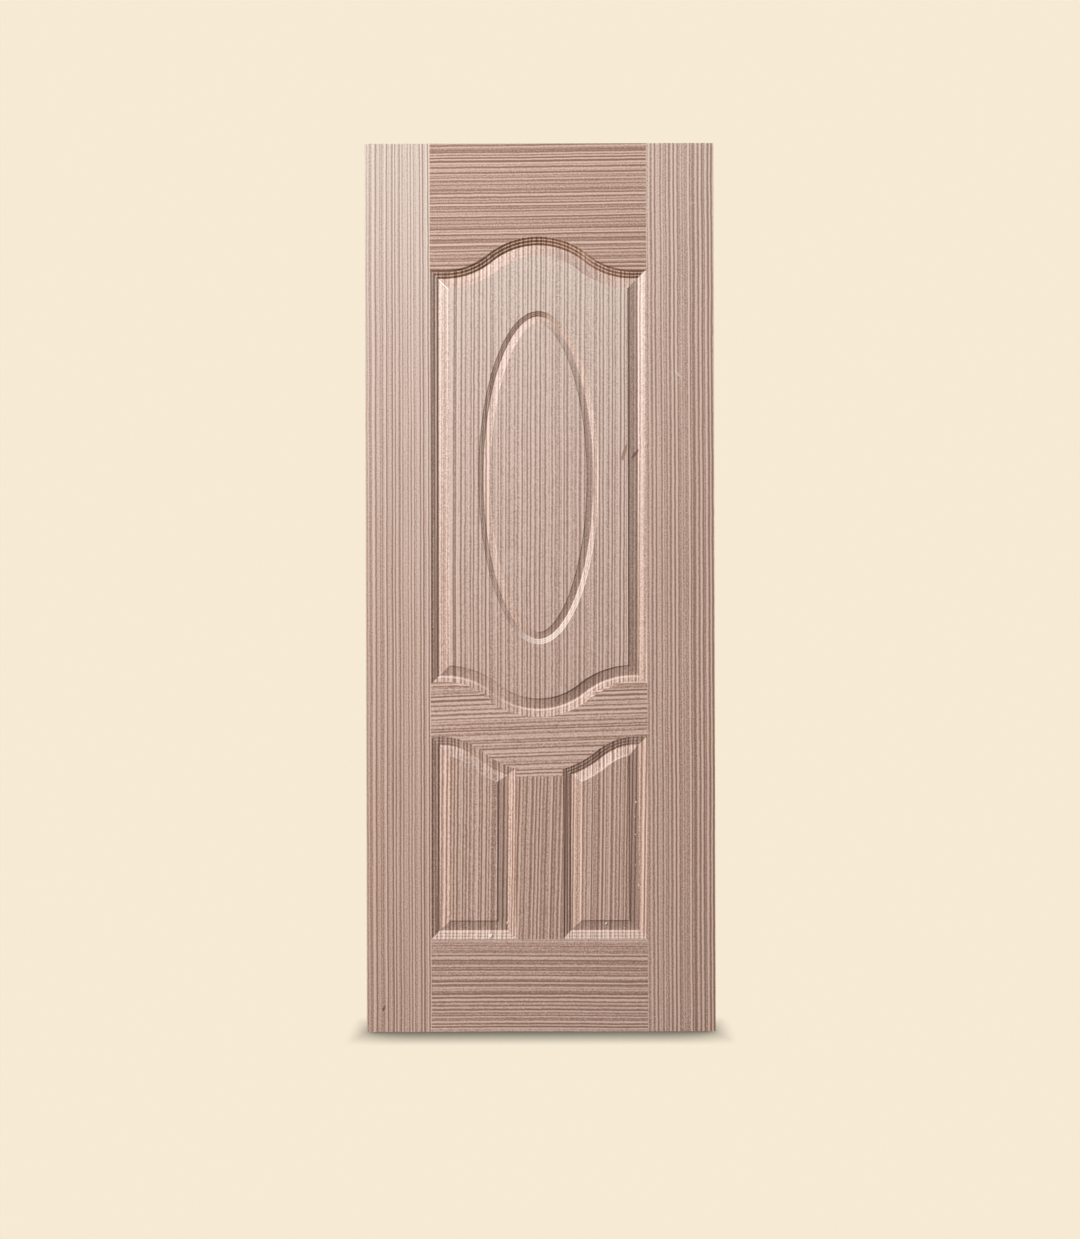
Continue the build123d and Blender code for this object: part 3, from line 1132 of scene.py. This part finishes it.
for name, face in leaves.items():
    values = {"Thickness": layers["veneer"], "Material": veneerMaterials[name]}
    if name == "upper_panel":
        values |= {
            **railReach,
            "Rail Material": veneerMaterials["top_rail"],
            "Middle": panelMiddle,
            "Shoulder": (upperLow.z + upperHigh.z) / 2,
            "Half Height": (upperHigh.z - upperLow.z) / 2 - upperPanel["swell"],
        }
    leaf = grow(name + "_leaf", meshObject(name, [face]), thickened, values)
    for side in ("front", "back"):
        hang(leaf, name + "_veneer", side)
    print(name, "leaf:", len(leaf.polygons), "faces")
sheet = grow("sheet", sheetCurves(), cutSheet, {})
boardBody = grow(
    "board",
    meshObject("board", [sheet, *leaves.values()]),
    thickened,
    {"Top": -layers["veneer"], "Thickness": layers["board"], "Material": boardMaterial},
)
for side in ("front", "back"):
    hang(boardBody, "skin", side)
print("board:", len(boardBody.polygons), "faces")
for section in (mouldingSection, ovalSection):
    bpy.data.objects.remove(section)

# Flakes of pale primer and torn veneer, caught in the mouldings of the lower panels

flakes = {
    "places": [
        # across and up the door, length
        (0.3390, 0.2608, 0.0092),
        (0.2981, 0.2296, 0.0125),
        (0.3570, 0.2260, 0.0080),
        (0.3500, 0.2300, 0.0040),
        (0.3120, 0.2520, 0.0040),
        (0.6480, 0.5500, 0.0062),
        (0.6451, 0.5154, 0.0040),
        (0.6475, 0.4715, 0.0054),
        (0.6465, 0.3992, 0.0040),
        (0.6547, 0.3495, 0.0066),
        (0.6355, 0.4050, 0.0032),
        (0.5760, 0.2590, 0.0066),
        (0.6210, 0.2480, 0.0042),
    ],
    "width": 0.62,  # part of the length
    "thickness": 0.28,
    "lift": 0.25,  # part of the thickness by which its middle clears the moulding
    "turn": (0.2, 0.2, 0.9),  # radians, either way
    "raggedness": 0.0022,
    "tears": 620.0,  # to a metre
    "seed": 4,
    "colour": (0.93, 0.86, 0.76),
    "shade": (0.76, 0.64, 0.52),
    "patches": ((900.0, 900.0, 900.0), 3.0),
    "roughness": 0.7,
    "bump": (0.4, 0.0003),
}


def buildFlakes():
    tree, given, result = newGroup(
        "flakes",
        "GeometryNodeTree",
        {
            "Places": "Geometry",
            "Width": 0.62,
            "Thickness": 0.28,
            "Turn": "Vector",
            "Raggedness": 0.002,
            "Tears": 620.0,
            "Seed": 0,
            "Material": "Material",
        },
        {"Flakes": "Geometry"},
    )
    size = addNode(tree, "GeometryNodeInputNamedAttribute", {"Name": "length"}, data_type="FLOAT")
    turnX, turnY, turnZ = split(given["Turn"])
    turn = addNode(
        tree,
        "FunctionNodeRandomValue",
        {
            "Min": vectorOf(turnX * -1.0, turnY * -1.0, turnZ * -1.0),
            "Max": given["Turn"],
            "Seed": given["Seed"],
        },
        data_type="FLOAT_VECTOR",
    )
    many = addNode(
        tree,
        "GeometryNodeInstanceOnPoints",
        {
            "Points": given["Places"],
            "Instance": addNode(tree, "GeometryNodeMeshIcoSphere", {"Radius": 0.5, "Subdivisions": 3}),
            "Rotation": turn,
            "Scale": vectorOf(size * given["Width"], size, size * given["Thickness"]),
        },
    )
    real = addNode(tree, "GeometryNodeRealizeInstances", {"Geometry": many})
    place = addNode(tree, "GeometryNodeInputPosition")
    tears = addNode(tree, "ShaderNodeTexNoise", {"Vector": place, "Scale": given["Tears"], "Detail": 2.0})
    push = addNode(
        tree,
        "ShaderNodeVectorMath",
        {0: addNode(tree, "GeometryNodeInputNormal"), "Scale": (tears - 0.5) * given["Raggedness"]},
        operation="SCALE",
    )
    torn = moved(real, Offset=push)
    # none stands proud of the door's face
    x, y, z = split(place)
    pressed = moved(torn, Position=vectorOf(x, y, maths("MINIMUM", z, -tiny)))
    plug(result["Flakes"], finished(pressed, given["Material"]))
    return tree


def flakeMaterial():
    material, tree, shader = newMaterial("flakes")
    patchy = mottled(addNode(tree, "ShaderNodeTexCoord")["Object"], *flakes["patches"])
    colour = blend(patchy, flakes["shade"], flakes["colour"])
    dressShader(shader, colour, flakes["roughness"], patchy, flakes["bump"])
    return material


def scatterFlakes():
    # each lies on the moulding where a line straight into the door meets it
    solid = bmesh.new()
    for name in ("lower_left_panel", "lower_right_panel"):
        solid.from_mesh(leaves[name])
    surface = BVHTree.FromBMesh(solid)
    points = []
    for across, up, length in flakes["places"]:
        hit = surface.ray_cast(Vector((across, up, 1.0)), Vector((0, 0, -1)))[0]
        points.append((across, up, hit.z + length * flakes["thickness"] * flakes["lift"]))
    solid.free()
    data = bpy.data.meshes.new("flakePlaces")
    data.from_pydata(points, [], [])
    lengths = [length for _, _, length in flakes["places"]]
    data.attributes.new("length", "FLOAT", "POINT").data.foreach_set("value", lengths)
    values = {label: flakes[label.lower()] for label in ("Width", "Thickness", "Turn", "Raggedness", "Tears", "Seed")}
    mesh = grow("flakes", addPiece("flakePlaces", data), buildFlakes(), {**values, "Material": flakeMaterial()})
    mesh.transform(lay["front"])
    for face in mesh.polygons:
        face.use_smooth = True
    piece = addPiece("front_flakes", mesh)
    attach(piece, "root")
    print("flakes:", len(mesh.polygons), "faces")


scatterFlakes()

# Room, light and camera

stage = {
    "background": (0.922, 0.823, 0.658),  # cream
    "floorSize": 30,
    "floorBounce": (0.10, 0.095, 0.085),
    "floorRoughness": 0.9,
    "shadeReach": 0.17,  # metres over which the contact shadow fades
    "shadeDepth": 2.5,
    "shadeBeside": 0.05,  # metres beyond the leaf's sides
    "shadeSamples": 16,
}
lamps = {
    "ambient": 0.045,
    "ambientColour": (0.95, 0.97, 1.0),
    # directions are from the leaf's middle towards the lamp
    "key": {"direction": (-1.12, -1.0, 0.84), "reach": 5.6, "size": 0.9, "power": 1120.0},
    "behind": {"direction": (1.0, 1.1, 0.80), "reach": 5.6, "size": 1.2, "power": 620.0},  # lights the back alone
}
view = {
    "distance": 5.0,
    "picture": (1080, 1239),  # pixels of the photograph
    "doorMiddle": (540.3, 587.5),  # pixels
    "metresPerPixel": 0.002403,
    "tilt": 0.15,  # degrees
}


def seenDirectly(tree):
    paths = addNode(tree, "ShaderNodeLightPath")
    seen = maths("MAXIMUM", paths["Is Camera Ray"], paths["Is Glossy Ray"])
    return maths("MAXIMUM", seen, paths["Is Transmission Ray"])


def addFloor():
    size = stage["floorSize"]
    corners = [(-size, -size, 0), (size, -size, 0), (size, size, 0), (-size, size, 0)]
    mesh = bpy.data.meshes.new("floor")
    mesh.from_pydata(corners, [], [(0, 1, 2, 3)])
    material, tree, shader = newMaterial("floor")
    shader.inputs["Base Color"].default_value = (*stage["floorBounce"], 1)
    shader.inputs["Roughness"].default_value = stage["floorRoughness"]
    # seen from the camera, the floor has the backdrop's colour, less what the object hides of the sky
    shade = addNode(
        tree,
        "ShaderNodeAmbientOcclusion",
        {"Distance": stage["shadeReach"]},
        samples=stage["shadeSamples"],
    )
    across = split(addNode(tree, "ShaderNodeTexCoord")["Object"])[0]
    side = (leafHigh.x - leafLow.x) / 2
    beside = ramp(
        abs(across - leafMiddle.x), side - stage["shadeBeside"], side + stage["shadeBeside"], smooth=True
    )
    bright = maths("MAXIMUM", shade["AO"] ** stage["shadeDepth"], beside)
    glow = addNode(tree, "ShaderNodeEmission", {"Color": blend(bright, (0, 0, 0), stage["background"])})
    mix = addNode(tree, "ShaderNodeMixShader", {0: seenDirectly(tree), 1: Wire(shader), 2: glow})
    plug(tree.nodes["Material Output"].inputs["Surface"], mix)
    mesh.materials.append(material)
    addPiece("floor", mesh)


def lightWorld():
    world = bpy.data.worlds.new("room")
    bpy.context.scene.world = world
    world.use_nodes = True
    tree = world.node_tree
    tree.nodes.clear()
    shown = addNode(tree, "ShaderNodeBackground", {"Color": (*stage["background"], 1), "Strength": 1.0})
    ambient = addNode(
        tree, "ShaderNodeBackground", {"Color": (*lamps["ambientColour"], 1), "Strength": lamps["ambient"]}
    )
    mix = addNode(tree, "ShaderNodeMixShader", {0: seenDirectly(tree), 1: ambient, 2: shown})
    addNode(tree, "ShaderNodeOutputWorld", {"Surface": mix})


def addLamp(name):
    values = lamps[name]
    data = bpy.data.lights.new(name, "AREA")
    data.energy = values["power"]
    data.size = values["size"]
    lamp = addPiece(name, data)
    lamp.location = leafMiddle + Vector(values["direction"]) * values["reach"]
    lamp.rotation_euler = (leafMiddle - lamp.location).to_track_quat("-Z", "Y").to_euler()
    lamp.visible_camera = False


def addCamera():
    width, height = view["picture"]
    scale = view["metresPerPixel"]
    doorX, doorY = view["doorMiddle"]
    data = bpy.data.cameras.new("camera")
    data.sensor_fit = "VERTICAL"
    data.angle_y = 2 * math.atan(height * scale / 2 / view["distance"])
    camera = addPiece("camera", data)
    camera.location = (
        leafMiddle.x + (width / 2 - doorX) * scale,
        frontFace - view["distance"],
        leafMiddle.z + (doorY - height / 2) * scale,
    )
    camera.rotation_euler = (math.radians(90), math.radians(view["tilt"]), 0)
    bpy.context.scene.camera = camera


addFloor()
lightWorld()
addLamp("key")
addLamp("behind")
addCamera()
bpy.context.scene.view_settings.view_transform = "Standard"
print("room, lamps and camera ready")
